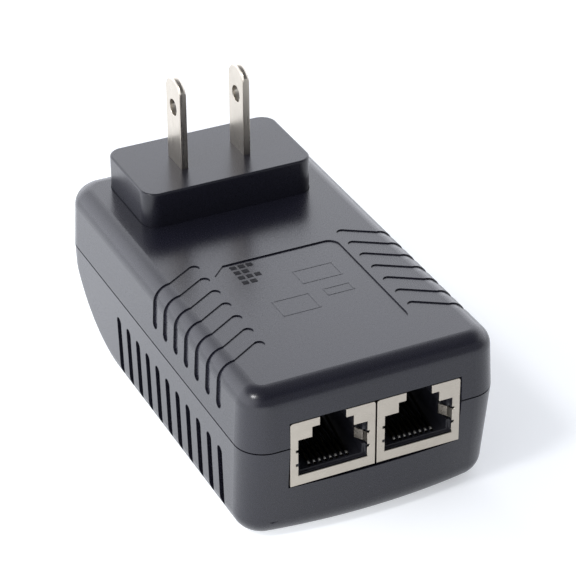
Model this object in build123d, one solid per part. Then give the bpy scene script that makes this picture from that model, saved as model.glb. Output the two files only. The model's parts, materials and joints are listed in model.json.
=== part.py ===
from build123d import *
from math import cos, radians, sin, sqrt, tan
import os

os.makedirs("parts", exist_ok=True)

# Wall-plug PoE injector. Millimetres, +Z up along the mains blades, -Y is the end with
# the two network jacks. The origin is the middle of the box on the resting face.

# Housing
body_length = 84.0          # along Y at the parting line
body_width = 48.6           # along X at the parting line
body_height = 31.0          # resting face to the large flat top
seam_height = 19.65         # parting line between the two shells
draft_angle = 3.0           # the top shell's walls lean in by this, above the seam
bottom_draft = 1.5          # and the bottom shell's walls by this, below it
front_corner = 5.3          # vertical corners beside the jacks, in plan
back_corner = 6.4           # vertical corners beside the plug
top_edge = 3.4              # rounding round the flat top
bottom_edge = 4.2           # rounding round the resting face
bow_crown = 3.0             # how far the front runs back to its corners, at the bottom
bow_corner = 0.6            # growth of the front corners down to the bottom
seam_crown = 0.02           # the same bow at the parting line, next to nothing
stern_radius = 23.7         # sweep of the underside up to the back
stern_ledge = 0.25          # the bottom shell's back edge stands this far in at the seam
wall = 2.0
seam_gap = 0.3              # shadow line at the parting line
seam_depth = 0.5
tongue_thick = 0.85         # lip of the bottom shell that enters the top shell
tongue_height = 1.6
fit_gap = 0.1               # play between moulded parts

# Grip grooves, seven each side of the top shell
groove_count = 7
groove_pitch = 4.6
groove_width = 2.0
groove_inner_x = 14.77      # centre of the round inner end
groove_bend_x = 20.3        # where the slanted run turns straight out
groove_first_y = 1.06       # inner end of the hindmost groove
groove_slant = 32.5         # degrees from the X axis
groove_depth = 0.38
groove_top_depth = 0.22
groove_low_z = 22.9         # lowest point of the groove on the side wall

# Vent slots, eleven each side of the bottom shell
vent_count = 11
vent_pitch = 4.56
vent_width = 1.95
vent_first_y = 15.35
vent_low_z = 2.8
vent_high_z = 15.1

# Shallow panel recess in the top
panel_width = 25.2
panel_back_y = -0.25
panel_front_y = -30.45
panel_depth = 0.25
panel_corner = 2.2
panel_chamfer = 2.8

# Plug boss and blades
boss_width = 34.1
boss_depth = 20.0
boss_height = 6.9
boss_y = 27.25
boss_corner = 3.0
boss_edge = 0.35
boss_flange = 1.7           # how far the hidden flange reaches past the boss
boss_flange_thick = 1.8
blade_spacing = 12.7
blade_width = 6.35
blade_thick = 1.4
blade_length = 17.4
blade_hole = 3.18
blade_hole_height = 11.5
blade_tail = 5.0            # below the boss flange
tip_arch = 1.65             # rise of the blade's arched end
tip_bevel = 0.35
lead_radius = 0.85

# Network jacks
jack_width = 16.05
jack_height = 12.9
jack_depth = 21.0
jack_gap = 0.3
jack_bottom = 11.3
jack_setback = 0.3          # jack face behind the front wall
window_gap = 0.15           # gap beside the jacks in the front wall
window_top_gap = 0.2
window_bottom_gap = 0.5
shield_thick = 0.3
shield_bend = 0.6
port_width = 13.0           # opening in the shield
port_height = 7.2
port_sill = 2.0             # shield below the opening
step_width = 7.75
step_height = 2.0
latch_width = 4.9
latch_notch = 4.0           # the body is cut away this far back over the latch
cavity_width = 11.9         # plug space in the moulded jack body
cavity_height = 6.9
cavity_depth = 13.5
contact_count = 8
contact_pitch = 1.02
contact_size = 0.36
contact_slot = 0.56
contact_length = 8.6
contact_rise = 20.0         # degrees above level, at rest
contact_start = 2.4         # bend of the contacts behind the jack face
spring_thick = 0.2
spring_height = 2.0
spring_reach = 3.1
spring_z = 5.6              # above the jack's underside, as are the values below
cavity_floor = 2.3
comb_floor = 1.1
comb_gap = 0.08             # under the fixed part of each contact
comb_back = 16.0
contact_bend = 0.42
contact_z = comb_floor + comb_gap + contact_size + contact_bend + 0.12

# Circuit board
board_thick = 1.6
board_width = 42.4
board_front = -38.4
board_back = 33.0
board_top = jack_bottom
board_back_cut = 5.0        # cut corners of the board
board_front_cut = 3.0

half_length = body_length / 2
half_width = body_width / 2
jack_face = -half_length + jack_setback
jack_x = (jack_gap + jack_width) / 2

# Places in plan
post_places = [(-15, -32.3), (15, -32.3), (-15, 6.8), (15, 6.8), (-11, 27.5), (11, 27.5)]
post_radius = 1.8
post_web = 1.2
clamp_places = [(-19.4, -17.8), (19.4, -17.8), (-20.0, 24.7), (20.0, 24.7)]
clamp_radius = 1.3
board_holes = [(-18.5, -35.6), (18.5, -35.6), (0, 31.2)]
transformer_place = (-3.0, -0.2)
choke_place = (0.0, 23.2)
switch_place = (-11.5, 15.7)
diode_place = (-2.5, -15.8)
inductor_place = (-15.3, -13.1)


def save(name, *solids):
    """One STEP per sub-part; several solids make a group in one node."""
    shape = solids[0] if len(solids) == 1 else Compound(children=list(solids))
    export_step(shape, f"parts/{name}.step")


def block(x0, x1, y0, y1, z0, z1):
    """Box from its limits."""
    size = (x1 - x0, y1 - y0, z1 - z0)
    return Pos((x0 + x1) / 2, (y0 + y1) / 2, (z0 + z1) / 2) * Box(*size)


def outline(inset=0.0, crown=0.0, growth=0.0):
    """Plan outline moved in by an even amount. A crown bows the front edge outwards."""
    x, y = half_width - inset, half_length - inset
    front, back = front_corner + growth - inset, back_corner - inset
    with BuildSketch() as sketch:
        with BuildLine():
            Polyline((x, crown - y), (x, y), (-x, y), (-x, crown - y))
            if crown:
                ThreePointArc((-x, crown - y), (0, -y), (x, crown - y))
            else:
                Line((-x, -y), (x, -y))
        make_face()
        fillet(sketch.vertices().sort_by(Axis.Y)[:2], max(front, 0.8))
        fillet(sketch.vertices().sort_by(Axis.Y)[-2:], max(back, 0.8))
    return sketch.sketch


def top_form(inset, edge, top_inset=None):
    """Closed form of the top shell, moved in by inset, and by top_inset under the top."""
    lowered = inset if top_inset is None else top_inset
    height = body_height - seam_height - lowered
    form = extrude(Pos(0, 0, seam_height) * outline(inset), height, taper=draft_angle)
    return fillet(form.edges().group_by(Axis.Z)[-1], edge)


def stern_profile(inset):
    """Side outline of the bottom shell, with the sweep up to the back."""
    radius = stern_radius - inset
    low, high = inset, seam_height
    front = -half_length - 5
    back = half_length - stern_ledge - inset
    centre_z = low + radius
    centre_y = back - sqrt(radius**2 - (centre_z - high) ** 2)
    middle = radians(-50)
    on_sweep = (centre_y + radius * cos(middle), centre_z + radius * sin(middle))
    with BuildSketch(Plane.YZ) as sketch:
        with BuildLine():
            Line((front, low), (centre_y, low))
            ThreePointArc((centre_y, low), on_sweep, (back, high))
            Line((back, high), (front, high))
            Line((front, high), (front, low))
        make_face()
    return extrude(sketch.sketch, half_width + 5, both=True)


def bottom_form(inset, edge):
    """Closed form of the bottom shell, moved in by an even amount."""
    lean = seam_height * tan(radians(bottom_draft))
    rim = Pos(0, 0, seam_height) * outline(inset, seam_crown)
    floor = outline(inset + lean, bow_crown, bow_corner)
    form = loft([floor, rim], ruled=True) & stern_profile(inset)
    sharp = [
        line
        for line in form.edges()
        if max(end.Z for end in line.vertices()) < seam_height / 2
        and not (line.center().Y > 0 and abs(line.center().X) < 1)
    ]
    return form.fillet(edge, sharp)


def ring(outer_inset, inner_inset, low, high):
    """Upright band that follows the plan outline."""
    band = outline(outer_inset) - outline(inner_inset)
    return extrude(Pos(0, 0, low) * band, high - low)


def side_slot(width, low, high, y, x0, x1):
    """Slot with round ends, upright in the side wall, cut along X."""
    middle, length = (low + high) / 2, high - low
    face = Plane.YZ.offset(x0) * Pos(y, middle) * SlotOverall(length, width, rotation=90)
    return extrude(face, x1 - x0)


def jack_window():
    """The hole in the front wall for both jacks."""
    side = jack_gap / 2 + jack_width + window_gap
    low, high = jack_bottom - window_bottom_gap, jack_bottom + jack_height + window_top_gap
    return block(-side, side, -half_length - 1, -half_length + wall + 2, low, high)


def groove_cutter(index):
    """Grip groove on the +X side: slanted on the top, upright down the side."""
    inner = Vector(groove_inner_x, groove_first_y - index * groove_pitch)
    run = groove_bend_x - groove_inner_x
    bend = inner + Vector(run, -run * tan(radians(groove_slant)))
    centre = (inner + bend) * 0.5
    length = (bend - inner).length
    slot = SlotCenterToCenter(length, groove_width, rotation=-groove_slant)
    slanted = extrude(Pos(centre.X, centre.Y, seam_height) * slot, body_height)
    down = side_slot(
        groove_width, groove_low_z, body_height + 3, bend.Y, groove_bend_x, half_width + 1
    )
    return slanted + down


def panel_recess():
    """Shallow field in the top for a rating panel, one corner cut, one round."""
    x, back, front = panel_width / 2, panel_back_y, panel_front_y
    with BuildSketch() as sketch:
        with BuildLine():
            Polyline(
                (-x, front), (x, front), (x, back), (-x + panel_chamfer, back),
                (-x, back - panel_chamfer), (-x, front),
            )
        make_face()
        round_ones = [v for v in sketch.vertices() if v.X > 0 or v.Y < front + 1]
        fillet(round_ones, panel_corner)
    return extrude(Pos(0, 0, body_height - panel_depth) * sketch.sketch, 2)


def top_cover():
    shell = top_form(0, top_edge) - top_form(wall, top_edge - wall)
    core = top_form(groove_depth, top_edge - groove_depth, groove_top_depth)
    cutters = [groove_cutter(i) for i in range(groove_count)]
    for cutter in cutters:
        groove = cutter - core
        shell -= groove
        shell -= mirror(groove, Plane.YZ)
    shell -= panel_recess()
    shell -= boss_prism(fit_gap, body_height - wall - 1, body_height + 1)
    rebate_top = seam_height + tongue_height + fit_gap
    shell -= ring(wall - tongue_thick - fit_gap, wall + 1, seam_height - 1, rebate_top)
    shell -= jack_window()
    for x, y in clamp_places:
        post = Pos(x, y, (board_top + body_height - wall) / 2) * Cylinder(
            clamp_radius, body_height - wall - board_top + 0.6
        )
        shell += post & block(x - 2, x + 2, y - 2, y + 2, board_top, body_height - wall / 2)
    return shell


def bottom_cover():
    shell = bottom_form(0, bottom_edge) - bottom_form(wall, bottom_edge - wall)
    shell += ring(wall - tongue_thick, wall, seam_height - 1, seam_height + tongue_height)
    shell -= ring(-1, seam_depth, seam_height - seam_gap, seam_height + 0.01)
    shell -= jack_window()
    for index in range(vent_count):
        y = vent_first_y - index * vent_pitch
        vent = side_slot(vent_width, vent_low_z, vent_high_z, y, half_width - 5, half_width + 1)
        shell -= vent
        shell -= mirror(vent, Plane.YZ)
    posts = Part()
    for x, y in post_places:
        height = board_top - board_thick
        posts += Pos(x, y, height / 2) * Cylinder(post_radius, height)
        posts += Pos(x, y, height / 2) * Box(post_web, 3.2 * post_radius, height - 2)
    return shell + (posts & bottom_form(wall / 2, bottom_edge - wall / 2))


def boss_prism(grow, low, high):
    """Upright block with the boss's plan outline."""
    plan = RectangleRounded(boss_width + 2 * grow, boss_depth + 2 * grow, boss_corner + grow)
    return extrude(Pos(0, boss_y, low) * plan, high - low)


def plug_boss():
    """Insert that carries the blades, trapped from inside by its flange."""
    face = body_height + boss_height
    inner = body_height - wall
    boss = boss_prism(0, inner - boss_flange_thick, face)
    boss = fillet(boss.edges().group_by(Axis.Z)[-1], boss_edge)
    boss += boss_prism(boss_flange, inner - boss_flange_thick, inner)
    low = inner - boss_flange_thick
    hollow = block(-12.5, 12.5, boss_y - 7.5, boss_y + 7.5, low - 1, face - 4.0)
    for side in (-1, 1):
        x = side * blade_spacing / 2
        hollow -= block(x - 2.2, x + 2.2, boss_y - 5, boss_y + 5, low - 2, face)
    boss -= hollow
    for side in (-1, 1):
        x = side * blade_spacing / 2
        boss -= blade_blank(x)
    return boss


def blade_blank(x):
    """The blade's plain bar, also the slot it is pressed into."""
    return block(
        x - blade_thick / 2, x + blade_thick / 2,
        boss_y - blade_width / 2, boss_y + blade_width / 2,
        body_height - wall - boss_flange_thick - blade_tail, body_height + boss_height + 0.01,
    )


def blade(x):
    """Flat mains blade with an arched, coined tip and a hole."""
    face = body_height + boss_height
    low = body_height - wall - boss_flange_thick - blade_tail
    tip = face + blade_length
    half = blade_width / 2
    with BuildSketch(Plane.YZ) as sketch:
        with BuildLine():
            Line((boss_y - half, low), (boss_y + half, low))
            Line((boss_y + half, low), (boss_y + half, tip - tip_arch))
            ThreePointArc(
                (boss_y + half, tip - tip_arch), (boss_y, tip), (boss_y - half, tip - tip_arch)
            )
            Line((boss_y - half, tip - tip_arch), (boss_y - half, low))
        make_face()
        with Locations((boss_y, face + blade_hole_height)):
            Circle(blade_hole / 2, mode=Mode.SUBTRACT)
    bar = Pos(x, 0, 0) * extrude(sketch.sketch, blade_thick / 2, both=True)
    arched = [e for e in bar.edges() if e.center().Z > tip - tip_arch and abs(e.center().X - x) > 0.1]
    bar = chamfer(arched, tip_bevel)
    eye = Pos(x, boss_y, low + 1.6) * Rot(0, 90, 0) * Cylinder(0.9, blade_thick * 2)
    return bar - eye


def mains_lead(side):
    """Insulated lead from a blade's tail down to the board."""
    x = side * blade_spacing / 2
    low = body_height - wall - boss_flange_thick - blade_tail
    end_x, end_y = side * 12.5, boss_y + 3.2
    with BuildLine() as path:
        FilletPolyline(
            (x, boss_y, low), (x, boss_y, low - 3.6),
            (end_x, end_y, board_top + 3.6), (end_x, end_y, board_top),
            radius=2.4,
        )
    start = path.line @ 0
    section = Plane(origin=start, z_dir=path.line % 0) * Circle(lead_radius)
    return sweep(section, path.line)


def circuit_board():
    low = board_top - board_thick
    half = board_width / 2
    board = block(-half, half, board_front, board_back, low, board_top)
    upright = board.edges().filter_by(Axis.Z).sort_by(Axis.Y)
    board = chamfer(upright[-2:], board_back_cut)
    upright = board.edges().filter_by(Axis.Z).sort_by(Axis.Y)
    board = chamfer(upright[:2], board_front_cut)
    for x, y in board_holes:
        board -= Pos(x, y, low) * Cylinder(0.6, 4 * board_thick)
    return board


def port_profile(y0, y1, half, low, high, step_half, step_high, latch_half, latch_high):
    """The stepped opening of a modular jack, latch side up, as a solid."""
    return (
        block(-half, half, y0, y1, low, high)
        + block(-step_half, step_half, y0, y1, low, step_high)
        + block(-latch_half, latch_half, y0, y1, low, latch_high)
    )


def jack_shield():
    """Folded sheet-metal can round one jack, open towards the board."""
    half, back = jack_width / 2, jack_depth
    can = block(-half, half, 0, back, 0, jack_height)
    can = fillet(can.edges().filter_by(Axis.Y).group_by(Axis.Z)[-1], shield_bend)
    inner = block(
        -half + shield_thick, half - shield_thick, shield_thick, back - shield_thick,
        -1, jack_height - shield_thick,
    )
    inner = fillet(inner.edges().filter_by(Axis.Y).group_by(Axis.Z)[-1], shield_bend - shield_thick)
    can -= inner
    can -= port_profile(
        -1, shield_thick + 0.5, port_width / 2, port_sill, port_sill + port_height,
        step_width / 2, port_sill + port_height + step_height, latch_width / 2, jack_height + 1,
    )
    for side in (-1, 1):
        for level in (-1, 1):
            z = spring_z + level * (spring_height / 2 + 0.4)
            x = side * (port_width / 2)
            can -= block(x - 0.45, x + 0.45, -1, shield_thick + 0.1, z - 0.25, z + 0.25)
    return can


def jack_body():
    """Moulded insulator: plug space, latch step, comb for the contacts."""
    half = jack_width / 2 - shield_thick - fit_gap
    front = shield_thick + fit_gap
    body = block(-half, half, front, jack_depth - shield_thick - fit_gap, 0, jack_height - 0.5)
    upper = body.edges().filter_by(Axis.Y).group_by(Axis.Z)[-1]
    body = fillet(upper, shield_bend)
    floor = cavity_floor
    body -= port_profile(
        -1, cavity_depth, cavity_width / 2, floor, floor + cavity_height,
        step_width / 2, floor + cavity_height + step_height,
        latch_width / 2, floor + cavity_height + step_height + 0.8,
    )
    notch = latch_width / 2 + 0.1
    body -= block(-notch, notch, -1, latch_notch, jack_height - 1.5, jack_height + 1)
    mouth = cavity_width / 2 + 0.5
    body -= block(-mouth, mouth, -1, front + 0.6, floor - 0.2, floor + cavity_height)
    for side in (-1, 1):
        x = side * cavity_width / 2
        body -= block(x - 1.15, x + 1.15, 0, spring_reach + 1.4, spring_z - 1.4, spring_z + 1.4)
    for index in range(contact_count):
        x0, x1 = contact_x(index) - contact_slot / 2, contact_x(index) + contact_slot / 2
        body -= block(x0, x1, contact_start - 0.9, comb_back, comb_floor, floor + 1)
        body -= block(x0, x1, comb_back - 1.0, comb_back, -1, comb_floor + 0.5)
    return body


def contact_x(index):
    return (index - (contact_count - 1) / 2) * contact_pitch


def contact_tails():
    """Fixed part of each contact: hook at the front, run under the comb, foot to the board."""
    tails = []
    for index in range(contact_count):
        x0, x1 = contact_x(index) - contact_size / 2, contact_x(index) + contact_size / 2
        low = comb_floor + comb_gap
        front = contact_start - 0.78
        tail = block(x0, x1, front, comb_back - 0.1, low, low + contact_size)
        tail += block(x0, x1, front, front + contact_size, low, low + 1.2)
        tail += block(x0, x1, comb_back - 0.1 - contact_size, comb_back - 0.1, 0, low + contact_size)
        tails.append(tail)
    return tails


def contact_springs():
    """Moving part of each contact: a round bend at the front and a rising wire."""
    springs = []
    for index in range(contact_count):
        x = contact_x(index)
        knuckle = Pos(x, contact_start, contact_z) * Rot(0, 90, 0) * Cylinder(contact_bend, contact_size)
        wire = block(
            x - contact_size / 2, x + contact_size / 2, 0, contact_length,
            contact_bend - contact_size, contact_bend,
        )
        hinge = Pos(0, contact_start, contact_z) * Rot(contact_rise, 0, 0)
        springs.append(knuckle + hinge * wire)
    return springs


def ground_spring():
    """Thin tab folded in from the shield's rim on the +X side, pushed out by a plug."""
    root_x, root_y = port_width / 2 + 0.25, shield_thick + 0.25
    with BuildSketch() as sketch:
        with BuildLine() as line:
            Polyline(
                (root_x, root_y), (root_x - 0.35, root_y + 0.9),
                (cavity_width / 2 - 0.5, root_y + spring_reach - 0.8),
                (cavity_width / 2 - 0.1, root_y + spring_reach),
            )
            offset(amount=spring_thick / 2)
        make_face()
    low = spring_z - spring_height / 2
    return extrude(Pos(0, 0, low) * sketch.sketch, spring_height)


def can_capacitor(x, y, radius, height):
    """Electrolytic can with its crimp groove and a scored, rounded top."""
    low = board_top + 0.3
    can = Pos(x, y, low + height / 2) * Cylinder(radius, height)
    can = fillet(can.edges().group_by(Axis.Z)[-1], 0.6)
    crimp = Cylinder(radius + 1, 0.9) - Cylinder(radius - 0.45, 0.9)
    can -= Pos(x, y, low + 1.8) * crimp
    for angle in (0, 90):
        can -= Pos(x, y, low + height) * Rot(0, 0, angle) * Box(radius, 0.3, 0.3)
    for dx in (-1.8, 1.8):
        can += Pos(x + dx, y, board_top + 0.3) * Cylinder(0.3, 0.6)
    return can


def disc_part(x, y, radius, thick):
    """Dipped disc on two straight legs."""
    centre_z = board_top + radius + 1.4
    disc = Pos(x, y, centre_z) * Rot(90, 0, 0) * Cylinder(radius, thick)
    disc = fillet(disc.edges(), thick * 0.4)
    for dx in (-2.5, 2.5):
        disc += block(x + dx - 0.3, x + dx + 0.3, y - 0.3, y + 0.3, board_top, centre_z)
    return disc


def legged_block(x, y, size, count, pitch, rows):
    """Moulded block above the board on straight legs."""
    wide, deep, high = size
    low = board_top + 0.5
    body = block(x - wide / 2, x + wide / 2, y - deep / 2, y + deep / 2, low, low + high)
    body = fillet(body.edges().group_by(Axis.Z)[-1], 0.3)
    for i in range(count):
        for row in rows:
            px = x + (i - (count - 1) / 2) * pitch
            body += block(px - 0.3, px + 0.3, y + row - 0.25, y + row + 0.25, board_top, low + 0.2)
    return body


def underside_block(x, y, size):
    """Surface-mounted block under the board."""
    wide, deep, high = size
    top = board_top - board_thick
    return block(x - wide / 2, x + wide / 2, y - deep / 2, y + deep / 2, top - high, top)


def transformer():
    """Switching transformer: core pair, bobbin, winding and pins."""
    x, y = transformer_place
    low, high = board_top + 1.8, board_top + 16.4
    window_low, window_high = low + 3.0, high - 3.0
    core = block(-10, 10, -4, 4, low, high)
    for side in (-1, 1):
        x0, x1 = sorted((2.6 * side, 7.4 * side))
        core -= block(x0, x1, -5, 5, window_low, window_high)
    core = Pos(x, y, 0) * core
    leg = block(-2.65, 2.65, -4.05, 4.05, low - 5, high + 5)
    first, last = window_low + 0.1, window_high - 0.1
    bobbin = block(-3.4, 3.4, -4.8, 4.8, first, last)
    bobbin += block(-7.3, 7.3, -9.5, 9.5, first, first + 0.8)
    bobbin += block(-7.3, 7.3, -9.5, 9.5, last - 0.8, last)
    for row in (-1, 1):
        y0, y1 = sorted((row * 6.5, row * 9.5))
        bobbin += block(-9.4, 9.4, y0, y1, board_top + 0.6, first + 0.1)
    bobbin = Pos(x, y, 0) * (bobbin - leg)
    coil = block(-7.2, 7.2, -9.0, 9.0, first + 0.85, last - 0.85)
    coil = fillet(coil.edges().filter_by(Axis.Z), 2.5)
    coil = Pos(x, y, 0) * (coil - block(-3.45, 3.45, -4.85, 4.85, low, high))
    pins = [
        Pos(x + (i - 1.5) * 5.0, y + row * 8.0, board_top + 0.3) * Cylinder(0.4, 0.6)
        for row in (-1, 1)
        for i in range(4)
    ]
    return core, bobbin, coil, pins


def choke():
    """Mains filter choke: a ring core lying flat with two windings."""
    x, y = choke_place
    middle = board_top + 4.2
    core = Pos(x, y, middle) * (Cylinder(6.0, 5.0) - Cylinder(3.2, 5.0))
    jacket = Cylinder(6.9, 6.6) - Cylinder(2.3, 6.6) - (Cylinder(6.05, 5.1) - Cylinder(3.15, 5.1))
    jacket = Pos(x, y, middle) * jacket
    windings = []
    for side in (-1, 1):
        x0, x1 = sorted((x + side * 1.4, x + side * 8))
        winding = jacket & block(x0, x1, y - 8, y + 8, board_top, board_top + 9)
        leg_x = x + side * 4.5
        winding += block(leg_x - 0.4, leg_x + 0.4, y - 4, y - 3.2, board_top, board_top + 1.2)
        windings.append(winding)
    return core, windings


def power_switch():
    """Tabbed power transistor screwed to an upright heat sink plate."""
    x, y = switch_place
    low = board_top
    body = block(x - 5, x + 5, y - 4.4, y, low + 3.0, low + 11.5)
    tab = block(x - 5, x + 5, y - 1.3, y, low + 3.0, low + 15.4)
    hole = Pos(x, y, low + 13.4) * Rot(90, 0, 0) * Cylinder(1.6, 10)
    transistor = body + tab - hole
    for dx in (-2.54, 0, 2.54):
        transistor += block(x + dx - 0.4, x + dx + 0.4, y - 2.6, y - 2.1, low, low + 3.2)
    plate = block(x - 7, x + 7, y + 0.05, y + 1.6, low, low + 15.8)
    plate += block(x - 7, x - 5.6, y + 0.05, y + 5.0, low, low + 15.8)
    pilot = Pos(x, y, low + 13.4) * Rot(90, 0, 0) * Cylinder(1.3, 10)
    plate -= pilot
    shank = Pos(x, y + 0.1, low + 13.4) * Rot(90, 0, 0) * Cylinder(1.25, 3.2)
    head = Pos(x, y - 2.15, low + 13.4) * Rot(90, 0, 0) * Cylinder(1.85, 1.7)
    cross = block(x - 0.35, x + 0.35, y - 3.1, y - 2.4, low + 12.1, low + 14.7)
    cross += block(x - 1.3, x + 1.3, y - 3.1, y - 2.4, low + 13.05, low + 13.75)
    return transistor, plate, shank + head - cross


def diode():
    """Axial output diode lying on the board."""
    x, y = diode_place
    body = Pos(x, y, board_top + 3.0) * Rot(0, 90, 0) * Cylinder(2.6, 9.0)
    body = fillet(body.edges(), 0.4)
    for side in (-1, 1):
        px = x + side * 6.4
        x0, x1 = sorted((x + side * 4.0, px + side * 0.4))
        body += block(x0, x1, y - 0.4, y + 0.4, board_top + 2.6, board_top + 3.4)
        body += block(px - 0.4, px + 0.4, y - 0.4, y + 0.4, board_top, board_top + 3.4)
    return body


def inductor():
    """Output inductor: a drum core and the winding between its flanges."""
    x, y = inductor_place
    low = board_top
    core = Pos(x, y, low + 4.8) * Cylinder(2.2, 9.0)
    for z in (low + 1.1, low + 8.5):
        core += Pos(x, y, z) * Cylinder(4.0, 1.6)
    winding = Pos(x, y, low + 4.8) * (Cylinder(3.6, 5.7) - Cylinder(2.25, 5.7))
    return core, winding


def underside_grid(columns, rows, size):
    return [underside_block(x, y, size) for x in columns for y in rows]


# Housing, plug and board
save("top_cover", top_cover())
save("bottom_cover", bottom_cover())
save("plug_boss", plug_boss())
save("line_blade", blade(-blade_spacing / 2))
save("neutral_blade", blade(blade_spacing / 2))
save("line_lead", mains_lead(-1))
save("neutral_lead", mains_lead(1))
save("circuit_board", circuit_board())

# Two network jacks, built once and placed twice
tab = ground_spring()
for name, x in (("left", -jack_x), ("right", jack_x)):
    place = Pos(x, jack_face, jack_bottom)
    save(f"{name}_jack_shield", place * jack_shield())
    save(f"{name}_jack_body", place * jack_body())
    save(f"{name}_contact_tails", *[place * tail for tail in contact_tails()])
    save(f"{name}_contact_springs", *[place * spring for spring in contact_springs()])
    save(f"{name}_jack_right_spring", place * tab)
    save(f"{name}_jack_left_spring", place * mirror(tab, Plane.YZ))

# Power supply
core, bobbin, coil, pins = transformer()
save("transformer_core", core)
save("transformer_bobbin", bobbin)
save("transformer_winding", coil)
save("transformer_pins", *pins)
ring_core, windings = choke()
save("choke_core", ring_core)
save("choke_windings", *windings)
transistor, plate, screw = power_switch()
save("switching_transistor", transistor)
save("heat_sink", plate)
save("heat_sink_screw", screw)
drum, drum_winding = inductor()
save("inductor_core", drum)
save("inductor_winding", drum_winding)
save("output_diode", diode())
save("bulk_capacitor", can_capacitor(12.5, 14.7, 5.0, 15.0))
save("output_capacitors", *[can_capacitor(13.0, y, 4.0, 13.0) for y in (-14.3, -5.3)])
save("mains_fuse", fillet((Pos(-12.8, 24.0, board_top + 4.2) * Cylinder(4.0, 7.5)).edges(), 0.4))
save("varistor", disc_part(12.8, 24.5, 3.6, 3.4))
save("safety_capacitor", disc_part(13.0, 4.2, 4.0, 3.0))
save("filter_capacitor", legged_block(0.8, 12.7, (11.0, 4.6, 9.5), 2, 7.5, (0,)))
save("optocoupler", legged_block(-16.6, -0.3, (4.4, 6.4, 3.4), 2, 2.54, (-2.9, 2.9)))

# Underside of the board
save("bridge_rectifier", underside_block(0, 21.7, (6.5, 8.0, 2.6)))
save("controller_chip", underside_block(-7, 6.7, (4.0, 5.0, 1.6)))
save("chip_resistors", *underside_grid((-2, 2, 6), (-6, -2, 2), (2.0, 1.25, 0.55)))
save("chip_capacitors", *underside_grid((-8, 10), (-14, -10, -6), (2.0, 1.25, 0.95)))
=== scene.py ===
import json
from math import radians

import bmesh
import bpy
from mathutils import Matrix, Vector


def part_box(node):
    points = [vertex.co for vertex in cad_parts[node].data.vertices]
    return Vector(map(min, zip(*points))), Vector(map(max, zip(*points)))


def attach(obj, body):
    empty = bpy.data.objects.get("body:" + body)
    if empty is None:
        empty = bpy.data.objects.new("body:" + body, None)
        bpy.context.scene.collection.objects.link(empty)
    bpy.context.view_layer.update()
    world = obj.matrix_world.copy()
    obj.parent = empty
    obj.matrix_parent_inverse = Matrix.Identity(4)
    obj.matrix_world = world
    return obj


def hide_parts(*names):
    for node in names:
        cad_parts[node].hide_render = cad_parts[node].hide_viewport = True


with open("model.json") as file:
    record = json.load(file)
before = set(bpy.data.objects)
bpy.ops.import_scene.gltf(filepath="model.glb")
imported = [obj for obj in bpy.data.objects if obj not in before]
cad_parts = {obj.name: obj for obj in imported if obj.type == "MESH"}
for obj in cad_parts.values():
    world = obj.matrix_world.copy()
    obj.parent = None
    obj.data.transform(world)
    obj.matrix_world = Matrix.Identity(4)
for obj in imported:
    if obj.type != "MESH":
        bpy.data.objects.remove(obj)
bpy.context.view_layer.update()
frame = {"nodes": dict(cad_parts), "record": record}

mm = 0.001
nodes = frame["nodes"]
scene = bpy.context.scene
print("frame loaded:", len(nodes), "nodes")


def hexColour(text):   # sRGB hex to the linear colour that shaders use
    parts = [int(text[i:i + 2], 16) / 255 for i in (1, 3, 5)]
    linear = [p / 12.92 if p <= 0.04045 else ((p + 0.055) / 1.055) ** 2.4 for p in parts]
    return (*linear, 1.0)


def grain(size):   # noise scale for a pattern whose spots are this many millimetres across
    return 1 / (size * mm)


def addNode(tree, kind, settings=None, inputs=None):
    # settings are plain properties, inputs are values or (node, "output") pairs
    node = tree.nodes.new(kind)
    for name, value in (settings or {}).items():
        if name == "stops":   # colour ramp stops: (place, colour)
            while len(node.color_ramp.elements) < len(value):
                node.color_ramp.elements.new(0.5)
            for stop, (place, colour) in zip(node.color_ramp.elements, value):
                stop.position = place
                stop.color = colour
        else:
            setattr(node, name, value)
    for name, value in (inputs or {}).items():
        if isinstance(value, tuple) and isinstance(value[0], bpy.types.Node):
            tree.links.new(value[0].outputs[value[1]], node.inputs[name])
        else:
            node.inputs[name].default_value = value
    return node


def newMaterial(name):   # an empty node tree and its Object coordinates
    material = bpy.data.materials.new(name)
    material.use_nodes = True
    tree = material.node_tree
    tree.nodes.clear()
    coords = addNode(tree, "ShaderNodeTexCoord")
    return material, tree, (coords, "Object")


def closeMaterial(tree, inputs):   # the shader and the output, once the patterns are there
    shader = addNode(tree, "ShaderNodeBsdfPrincipled", {}, inputs)
    addNode(tree, "ShaderNodeOutputMaterial", {}, {"Surface": (shader, "BSDF")})


def spread(source, low, high):   # the middle of a noise's range, stretched from low to high
    return {"Value": source, "From Min": 0.3, "From Max": 0.7, "To Min": low, "To Max": high}


def toned(tree, factor, dark, light):   # one colour fading into another
    ends = {"Factor": factor, "A": hexColour(dark), "B": hexColour(light)}
    return addNode(tree, "ShaderNodeMix", {"data_type": "RGBA"}, ends)


def makePiece(name, mesh, material):   # a finished bmesh becomes an object of one material
    data = bpy.data.meshes.new(name)
    mesh.to_mesh(data)
    mesh.free()
    data.materials.append(material)
    piece = bpy.data.objects.new(name, data)
    scene.collection.objects.link(piece)
    return piece


cameraSet = {"place": (-157.58, -339.96, 253.91), "yaw": 25.321, "down": 31.589, "roll": -0.334,
             "lens": 150.91, "sensor": 36, "clip": (0.01, 50)}


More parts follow.
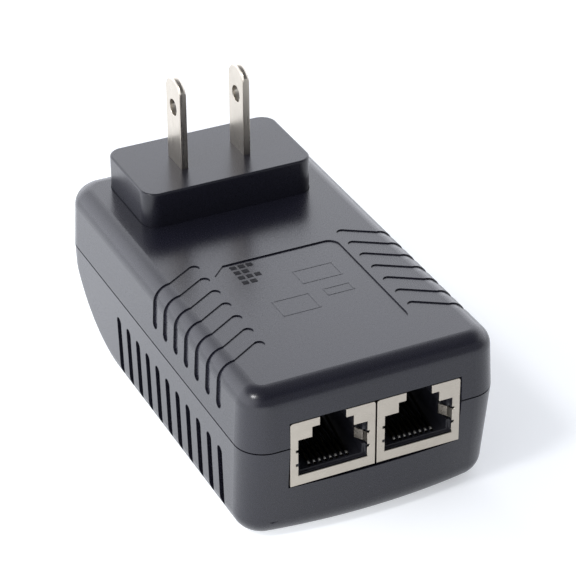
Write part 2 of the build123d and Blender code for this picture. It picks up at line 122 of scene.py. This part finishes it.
def makeCamera():
    data = bpy.data.cameras.new("camera")
    data.lens = cameraSet["lens"]
    data.sensor_width = cameraSet["sensor"]
    data.clip_start, data.clip_end = cameraSet["clip"]
    camera = bpy.data.objects.new("camera", data)
    scene.collection.objects.link(camera)
    turn = (Matrix.Rotation(-radians(cameraSet["yaw"]), 4, "Z")
            @ Matrix.Rotation(radians(90 - cameraSet["down"]), 4, "X")
            @ Matrix.Rotation(radians(cameraSet["roll"]), 4, "Z"))
    camera.matrix_world = Matrix.Translation(Vector(cameraSet["place"]) * mm) @ turn
    scene.camera = camera


makeCamera()

# height and around: how bright the surroundings are from floor to zenith, and from front to back
studio = {
    "floorColour": "#d6d8da", "floorShade": "#d0d2d5", "floorSize": 6.0, "floorCloud": 60,
    # floor glow: painted light from the floor itself, stronger on the left
    "floorRoughness": 0.9, "floorPaintedGlow": (0.6, 1.6), "paintedGlowFade": (20, -60),
    "tint": (0.965, 0.985, 1.05), "strength": 3.0,
    "height": [(0.0, 2.5), (0.54, 2.35), (0.68, 0.8), (0.82, 0.32), (1.0, 0.22)],
    "brightSide": (-0.25, 0.97, 0),
    "around": [(0.0, 0.14), (0.2, 0.2), (0.38, 0.85), (0.6, 1.15), (0.9, 1.12)],
    "softbox": {"towards": (-0.57, -0.16, 0.78), "distance": 1.1, "size": 0.2, "power": 4.0}}


def makeStudio():
    world = bpy.data.worlds.new("studioLight")
    world.use_nodes = True
    tree = world.node_tree
    tree.nodes.clear()
    coords = addNode(tree, "ShaderNodeTexCoord")
    place = (coords, "Generated")
    split = addNode(tree, "ShaderNodeSeparateXYZ", {}, {"Vector": place})
    strength = studio["strength"]
    heights = [(at, [level / strength * tint for tint in studio["tint"]] + [1])
               for at, level in studio["height"]]
    height = addNode(tree, "ShaderNodeValToRGB", {"stops": heights}, {"Fac": (split, "Z")})
    facing = addNode(tree, "ShaderNodeVectorMath", {"operation": "DOT_PRODUCT"},
                     {0: place, 1: studio["brightSide"]})
    turn = addNode(tree, "ShaderNodeMapRange", {}, {"Value": (facing, "Value"), "From Min": -1.0})
    sides = [(at, [level, level, level, 1]) for at, level in studio["around"]]
    around = addNode(tree, "ShaderNodeValToRGB", {"stops": sides}, {"Fac": (turn, "Result")})
    both = addNode(tree, "ShaderNodeMix", {"data_type": "RGBA", "blend_type": "MULTIPLY"},
                   {"Factor": 1.0, "A": (height, "Color"), "B": (around, "Color")})
    back = addNode(tree, "ShaderNodeBackground", {}, {"Color": (both, "Result"), "Strength": strength})
    addNode(tree, "ShaderNodeOutputWorld", {}, {"Surface": (back, "Background")})
    scene.world = world
    scene.view_settings.view_transform = "Standard"

    softbox = studio["softbox"]
    lamp = bpy.data.lights.new("keySoftbox", "AREA")
    lamp.shape = "DISK"
    lamp.size = softbox["size"]
    lamp.energy = softbox["power"]
    light = bpy.data.objects.new("keySoftbox", lamp)
    scene.collection.objects.link(light)
    aim = Vector(softbox["towards"]).normalized()
    light.location = aim * softbox["distance"]
    light.rotation_euler = aim.to_track_quat("Z", "Y").to_euler()


def makeFloor():
    # matt white paper that glows, brighter on the left: painted light that pales the shadows
    material, tree, place = newMaterial("paperBackdrop")
    soft = addNode(tree, "ShaderNodeTexNoise", {}, {"Vector": place, "Scale": grain(studio["floorCloud"])})
    tone = toned(tree, (soft, "Fac"), studio["floorColour"], studio["floorShade"])
    split = addNode(tree, "ShaderNodeSeparateXYZ", {}, {"Vector": place})
    near, far = studio["paintedGlowFade"]
    weak, strong = studio["floorPaintedGlow"]
    glow = addNode(tree, "ShaderNodeMapRange", {}, {"Value": (split, "X"), "From Min": near * mm,
                                                   "From Max": far * mm, "To Min": weak, "To Max": strong})
    closeMaterial(tree, {"Base Color": (tone, "Result"), "Roughness": studio["floorRoughness"],
                         "Emission Color": (tone, "Result"), "Emission Strength": (glow, "Result")})
    mesh = bmesh.new()
    bmesh.ops.create_grid(mesh, x_segments=4, y_segments=4, size=studio["floorSize"] / 2)
    makePiece("floor", mesh, material)


makeStudio()
makeFloor()
print("camera and studio set")


def mouldedPlastic(name, look):
    # black ABS from a spark-eroded mould: dull sheen broken by a fine even grit, and a few dust specks
    material, tree, place = newMaterial(name)
    grit = addNode(tree, "ShaderNodeTexNoise", {}, {"Vector": place, "Scale": grain(look["grit"]),
                                                   "Detail": 2.0, "Roughness": 0.6})
    cloud = addNode(tree, "ShaderNodeTexNoise", {}, {"Vector": place, "Scale": grain(9), "Detail": 3.0})
    tone = toned(tree, (cloud, "Fac"), look["dark"], look["light"])
    rough = addNode(tree, "ShaderNodeMapRange", {}, spread((grit, "Fac"), *look["roughness"]))
    bump = addNode(tree, "ShaderNodeBump", {}, {"Height": (grit, "Fac"), "Distance": look["relief"] * mm})
    dust = addNode(tree, "ShaderNodeTexVoronoi", {}, {"Vector": place, "Scale": grain(4.2)})
    speck = addNode(tree, "ShaderNodeMapRange", {}, {
        "Value": (dust, "Distance"), "From Min": 0.012, "From Max": 0.03, "To Min": look["dust"],
        "To Max": 0.0})
    dusty = addNode(tree, "ShaderNodeMix", {"data_type": "RGBA"},
                    {"Factor": (speck, "Result"), "A": (tone, "Result"), "B": hexColour("#9a9a98")})
    closeMaterial(tree, {"Base Color": (dusty, "Result"), "Roughness": (rough, "Result"),
                         "Normal": (bump, "Normal"), "IOR": look.get("ior", 1.5)})
    return material


def contactMetal(name, look):
    # gold flash, bright on the front bends and dimmed to a painted shade on the wires behind them, deep in
    # the jack
    material, tree, place = newMaterial(name)
    split = addNode(tree, "ShaderNodeSeparateXYZ", {}, {"Vector": place})
    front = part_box("left_contact_springs")[0][1]
    depth = addNode(tree, "ShaderNodeMapRange", {}, {
        "Value": (split, "Y"), "From Min": front + look["bright"] * mm, "From Max": front + look["dim"] * mm})
    cloud = addNode(tree, "ShaderNodeTexNoise", {}, {"Vector": place, "Scale": grain(0.8), "Detail": 2.0})
    gold = toned(tree, (cloud, "Fac"), look["dark"], look["light"])
    # painted shade: past the bends the colour fades from gold to dark brown with depth into the jack
    tone = addNode(tree, "ShaderNodeMix", {"data_type": "RGBA"},
                   {"Factor": (depth, "Result"), "A": (gold, "Result"), "B": hexColour(look["paintedShade"])})
    closeMaterial(tree, {"Base Color": (tone, "Result"), "Roughness": look["roughness"], "Metallic": 1.0})
    return material


def grainedFinish(name, look):
    # a body colour with slow blotches, under a grain that ruffles its sheen
    material, tree, place = newMaterial(name)
    along = addNode(tree, "ShaderNodeMapping", {}, {"Vector": place, "Scale": look.get("stretch", (1, 1, 1))})
    blotch = addNode(tree, "ShaderNodeTexNoise", {}, {"Vector": place, "Scale": grain(look["blotch"]),
                                                     "Detail": 3.0})
    fine = addNode(tree, "ShaderNodeTexNoise", {}, {
        "Vector": (along, "Vector"), "Scale": grain(look["grain"]), "Detail": look.get("detail", 2.0)})
    tone = toned(tree, (blotch, "Fac"), look["dark"], look["light"])
    rough = addNode(tree, "ShaderNodeMapRange", {}, spread((fine, "Fac"), *look["roughness"]))
    bump = addNode(tree, "ShaderNodeBump", {}, {"Height": (fine, "Fac"), "Distance": look["relief"] * mm})
    closeMaterial(tree, {"Base Color": (tone, "Result"), "Roughness": (rough, "Result"),
                         "Normal": (bump, "Normal"), "Metallic": look.get("metallic", 0.0)})
    return material


housingPlastic = mouldedPlastic("mouldedAbsHousing", {   # blue-black, sparkling grit
    "dark": "#17171f", "light": "#1b1b26", "grit": 0.22, "relief": 0.005,
    "roughness": (0.22, 0.3), "dust": 0.3})
insertPlastic = mouldedPlastic("mouldedAbsInsert", {   # the same black, smoother and calmer
    "dark": "#15151d", "light": "#191923", "grit": 0.16, "relief": 0.0015,
    "roughness": (0.26, 0.32), "dust": 0.25, "ior": 1.46})
markPlastic = mouldedPlastic("inkedRaisedMarks", {   # flat black ink that swallows the sheen
    "dark": "#0c0c10", "light": "#14141a", "grit": 0.3, "relief": 0.001,
    "roughness": (0.4, 0.5), "dust": 0.0, "ior": 1.2})
bladeNickel = grainedFinish("nickelPlatedBrass", {   # satin warm grey, fine lines along the blade
    "dark": "#b3aca1", "light": "#c0b9ae", "blotch": 2.2, "grain": 0.3, "detail": 3.0,
    "stretch": (1, 1, 0.05), "relief": 0.0004, "roughness": (0.26, 0.36), "metallic": 1.0})
shieldNickel = grainedFinish("nickelPlatedSteelSheet", {   # dull nickel with rolling lines across it
    "dark": "#aba499", "light": "#b9b2a7", "blotch": 2.2, "grain": 0.25, "detail": 3.0,
    "stretch": (0.06, 1, 1), "relief": 0.0008, "roughness": (0.26, 0.36), "metallic": 1.0})
# gold on the bends, painted shade on the wires behind them
springGold = contactMetal("goldFlashedBronze", {
    "dark": "#f2efe6", "light": "#fbfaf6", "paintedShade": "#2a261c", "bright": 0.3, "dim": 0.6, "roughness": 0.4})
# the tails under the comb are painted dark brown all over: painted shade inside the jack
tailBronzePaintedShade = contactMetal("bronzePaintedShadeUnderComb", {
    "dark": "#2a261c", "light": "#38332a", "paintedShade": "#2a261c", "bright": 0.3, "dim": 0.6, "roughness": 0.5})
jackPlastic = grainedFinish("mouldedPolyesterJack", {   # near-black, slightly glossy
    "dark": "#17171d", "light": "#1d1d24", "blotch": 4, "grain": 0.2, "relief": 0.003,
    "roughness": (0.4, 0.5)})

finishes = {
    "lead_insulation": grainedFinish("softPvcInsulation", {   # soft black sheath with a low sheen
        "dark": "#141416", "light": "#1d1d20", "blotch": 3, "grain": 0.3, "relief": 0.003,
        "roughness": (0.45, 0.55)}),
    "board": grainedFinish("greenSolderMask", {   # green lacquer, slightly uneven and glossy
        "dark": "#0c4a2c", "light": "#126038", "blotch": 5, "grain": 0.3, "relief": 0.004,
        "roughness": (0.25, 0.35)}),
    "ferrite": grainedFinish("sinteredFerrite", {   # dark grey, matt and gritty
        "dark": "#2b2c30", "light": "#3a3b40", "blotch": 2, "grain": 0.15, "relief": 0.01,
        "roughness": (0.55, 0.7)}),
    "bobbin_plastic": grainedFinish("phenolicBobbin", {   # brown-black resin
        "dark": "#16120f", "light": "#211b17", "blotch": 2, "grain": 0.2, "relief": 0.004,
        "roughness": (0.4, 0.5)}),
    "winding_tape": grainedFinish("polyesterTape", {   # yellow film, glossy and wrinkled
        "dark": "#c9a51e", "light": "#e2c23a", "blotch": 4, "grain": 0.6, "relief": 0.01,
        "roughness": (0.2, 0.35)}),
    "enamelled_copper": grainedFinish("enamelledCopperWire", {   # warm copper under clear enamel
        "dark": "#9c4a22", "light": "#c46a35", "blotch": 1.5, "grain": 0.3, "relief": 0.02,
        "roughness": (0.2, 0.3), "metallic": 1.0}),
    "tinned_metal": grainedFinish("tinnedSteel", {   # pale, slightly frosted metal
        "dark": "#aeb0b2", "light": "#cfd1d2", "blotch": 1, "grain": 0.1, "relief": 0.003,
        "roughness": (0.25, 0.4), "metallic": 1.0}),
    "component_plastic": grainedFinish("epoxyMoulding", {   # charcoal, dry and finely pitted
        "dark": "#1a1a1b", "light": "#262627", "blotch": 2, "grain": 0.12, "relief": 0.006,
        "roughness": (0.5, 0.6)}),
    "heat_sink_metal": grainedFinish("millFinishAluminium", {   # light grey metal, softly streaked
        "dark": "#b4b6b8", "light": "#cfd0d2", "blotch": 3, "grain": 0.2, "relief": 0.004,
        "roughness": (0.3, 0.45), "metallic": 1.0}),
    "capacitor_sleeve": grainedFinish("shrunkPvcSleeve", {   # dark blue film with a bright sheen
        "dark": "#101a33", "light": "#182546", "blotch": 3, "grain": 0.4, "relief": 0.004,
        "roughness": (0.2, 0.3)}),
    "disc_coating": grainedFinish("dippedEpoxy", {   # thick blue dip with an orange-peel skin
        "dark": "#1c4f8e", "light": "#2a66aa", "blotch": 2, "grain": 0.5, "relief": 0.02,
        "roughness": (0.3, 0.4)}),
    "capacitor_box": grainedFinish("mouldedCapacitorBox", {   # mustard box with a satin face
        "dark": "#b99c22", "light": "#d0b434", "blotch": 3, "grain": 0.2, "relief": 0.003,
        "roughness": (0.35, 0.45)}),
    "chip_ceramic": grainedFinish("firedCeramic", {   # tan, dry and speckled
        "dark": "#8f7a5c", "light": "#a88f6d", "blotch": 0.8, "grain": 0.1, "relief": 0.004,
        "roughness": (0.5, 0.6)}),
    "housing": housingPlastic, "plug_insert": insertPlastic, "blade_metal": bladeNickel,
    "shield_metal": shieldNickel, "jack_plastic": jackPlastic, "contact_gold": springGold,
}
print("finishes made:", len(finishes))

for part in frame["record"]["subparts"]:
    for slot in nodes[part["node"]].material_slots:
        slot.material = finishes[part["material_slot"]]
# the contact tails take the dark painted-shade bronze
for side in ("left", "right"):
    nodes[side + "_contact_tails"].material_slots[0].material = tailBronzePaintedShade


def softened(nodeName, pieceName, slotName, edge):
    # a copy of a CAD node with its outward edges rounded, which then stands for the node
    mesh = bmesh.new()
    mesh.from_mesh(nodes[nodeName].data)
    bmesh.ops.remove_doubles(mesh, verts=mesh.verts, dist=edge["weld"] * mm)
    bmesh.ops.dissolve_limit(mesh, angle_limit=radians(edge["flat"]), verts=mesh.verts, edges=mesh.edges)
    sharp = [e for e in mesh.edges if e.is_convex and e.calc_face_angle(0) > radians(edge["sharp"])]
    bmesh.ops.bevel(mesh, geom=sharp, offset=edge["radius"] * mm, offset_type="OFFSET", affect="EDGES",
                    segments=edge["steps"], profile=0.5, material=-1, loop_slide=True)
    for face in mesh.faces:
        face.smooth = True
    piece = makePiece(pieceName, mesh, finishes[slotName])
    even = piece.modifiers.new("evenNormals", "WEIGHTED_NORMAL")
    even.keep_sharp = False
    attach(piece, "housing")
    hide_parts(nodeName)


bladeEdge = {"weld": 0.002, "flat": 0.5, "sharp": 20, "radius": 0.12, "steps": 2}
shieldEdge = {"weld": 0.002, "flat": 0.5, "sharp": 30, "radius": 0.1, "steps": 2}
jackEdge = {"weld": 0.002, "flat": 0.5, "sharp": 30, "radius": 0.05, "steps": 2}
for side in ("line", "neutral"):
    softened(side + "_blade", side + "Blade", "blade_metal", bladeEdge)
for side in ("left", "right"):
    softened(side + "_jack_shield", side + "JackShield", "shield_metal", shieldEdge)
    softened(side + "_jack_body", side + "JackBody", "jack_plastic", jackEdge)
print("softened copies made")

# rows: (from the front wall, how many bars); frames: (centre x, from the front wall, width, depth)
marks = {
    "floor": -0.25, "lift": 0.05, "edge": 0.02, "left": -8.9, "bar": 1.15, "gap": 0.45, "thick": 1.1,
    "rows": [(40.4, 3), (38.6, 2), (36.8, 3), (35.0, 2)],
    "frames": [(4.6, 32.5, 7.6, 4.4), (5.6, 26.0, 5.0, 2.2), (-3.4, 24.5, 7.0, 5.0)], "line": 0.3}


def raisedBars(pieceName, bars, material):
    # low raised bars on the panel: (centre x, centre y, width, depth) in millimetres
    low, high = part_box("top_cover")
    mesh = bmesh.new()
    for x, y, width, depth in bars:
        middle = Vector((x * mm, low[1] + y * mm, high[2] + marks["floor"] * mm))
        size = Vector((width, depth, 2 * marks["lift"])) * mm
        bmesh.ops.create_cube(mesh, size=1, matrix=Matrix.LocRotScale(middle, None, size))
    bmesh.ops.bevel(mesh, geom=mesh.edges[:], offset=marks["edge"] * mm, affect="EDGES", segments=2,
                    profile=0.5)
    piece = makePiece(pieceName, mesh, material)
    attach(piece, "housing")


shortBars = []
for y, count in marks["rows"]:
    for index in range(count):
        x = marks["left"] + marks["bar"] / 2 + index * (marks["bar"] + marks["gap"])
        shortBars.append((x, y, marks["bar"], marks["thick"]))
raisedBars("ratingMarks", shortBars, markPlastic)
outlines = []
for x, y, width, depth in marks["frames"]:
    for side in (-1, 1):
        outlines.append((x, y + side * depth / 2, width + marks["line"], marks["line"]))
        outlines.append((x + side * width / 2, y, marks["line"], depth - marks["line"]))
raisedBars("panelOutlines", outlines, housingPlastic)
print("panel marks made")
